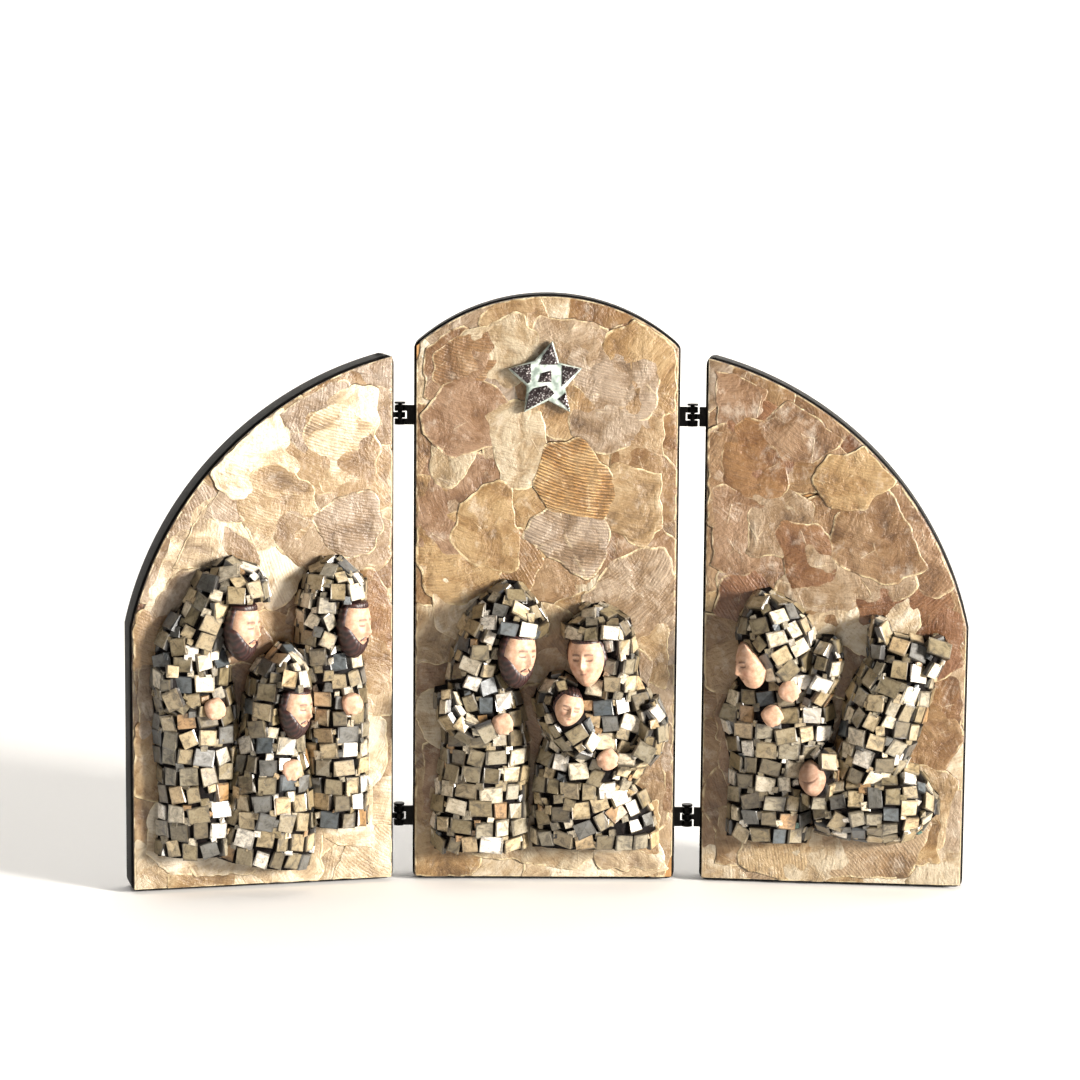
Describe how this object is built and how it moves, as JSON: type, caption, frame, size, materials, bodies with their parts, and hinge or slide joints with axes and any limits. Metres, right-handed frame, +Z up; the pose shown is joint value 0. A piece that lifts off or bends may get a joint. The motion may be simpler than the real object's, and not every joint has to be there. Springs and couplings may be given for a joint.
{
  "type": "hinged nativity triptych",
  "caption": "Arched folding triptych faced with capiz shell, carrying mosaic relief nativity figures, that stands on its hinged leaves.",
  "frame": {"origin": "middle of the centre leaf's bottom face, at mid thickness, on the surface it stands on", "axes": "+X to the right seen from the front, -Y out of the front towards the viewer, +Z up"},
  "size_m": [0.2132, 0.039, 0.1495],
  "materials": {
    "painted_board": "black paint, satin",
    "capiz_shell": "lacquered shell chips",
    "shell_mosaic": "shell tesserae on dark cement",
    "painted_flesh": "matt stoneware",
    "brown_beard": "brown glaze",
    "star": "clear cut star over grey foil",
    "hinge_iron": "blackened iron, satin"
  },
  "bodies": {
    "centre": {"centre_board": "painted_board", "centre_shell_facing": "capiz_shell", "star": "star", "father_mosaic": "shell_mosaic", "father_face": "painted_flesh", "father_beard": "brown_beard", "father_hand": "painted_flesh", "mother_mosaic": "shell_mosaic", "mother_face": "painted_flesh", "mother_hand": "painted_flesh", "child_mosaic": "shell_mosaic", "child_face": "painted_flesh", "left_lower_fixed_leaf": "hinge_iron", "left_upper_fixed_leaf": "hinge_iron", "right_lower_fixed_leaf": "hinge_iron", "right_upper_fixed_leaf": "hinge_iron", "left_lower_hinge_pin": "hinge_iron", "left_upper_hinge_pin": "hinge_iron", "right_lower_hinge_pin": "hinge_iron", "right_upper_hinge_pin": "hinge_iron"},
    "left_wing": {"left_board": "painted_board", "left_shell_facing": "capiz_shell", "standing_king_mosaic": "shell_mosaic", "standing_king_face": "painted_flesh", "standing_king_beard": "brown_beard", "standing_king_hand": "painted_flesh", "rear_king_mosaic": "shell_mosaic", "rear_king_face": "painted_flesh", "rear_king_beard": "brown_beard", "rear_king_hand": "painted_flesh", "kneeling_king_mosaic": "shell_mosaic", "kneeling_king_face": "painted_flesh", "kneeling_king_beard": "brown_beard", "kneeling_king_hand": "painted_flesh", "left_lower_wing_leaf": "hinge_iron", "left_upper_wing_leaf": "hinge_iron"},
    "right_wing": {"right_board": "painted_board", "right_shell_facing": "capiz_shell", "shepherd_mosaic": "shell_mosaic", "shepherd_face": "painted_flesh", "shepherd_upper_hand": "painted_flesh", "shepherd_lower_hand": "painted_flesh", "ox_mosaic": "shell_mosaic", "lamb_mosaic": "shell_mosaic", "lamb_face": "painted_flesh", "right_lower_wing_leaf": "hinge_iron", "right_upper_wing_leaf": "hinge_iron"}
  },
  "joints": [
    {"name": "left_wing_hinge", "type": "hinge", "parent": "centre", "child": "left_wing", "pos_m": [-0.0373, 0.0057, 0.05], "axis": [0, 0, 1], "range_deg": [-132, 20]},
    {"name": "right_wing_hinge", "type": "hinge", "parent": "centre", "child": "right_wing", "pos_m": [0.0373, 0.0057, 0.05], "axis": [0, 0, -1], "range_deg": [-124.5, 27.5]}
  ]
}
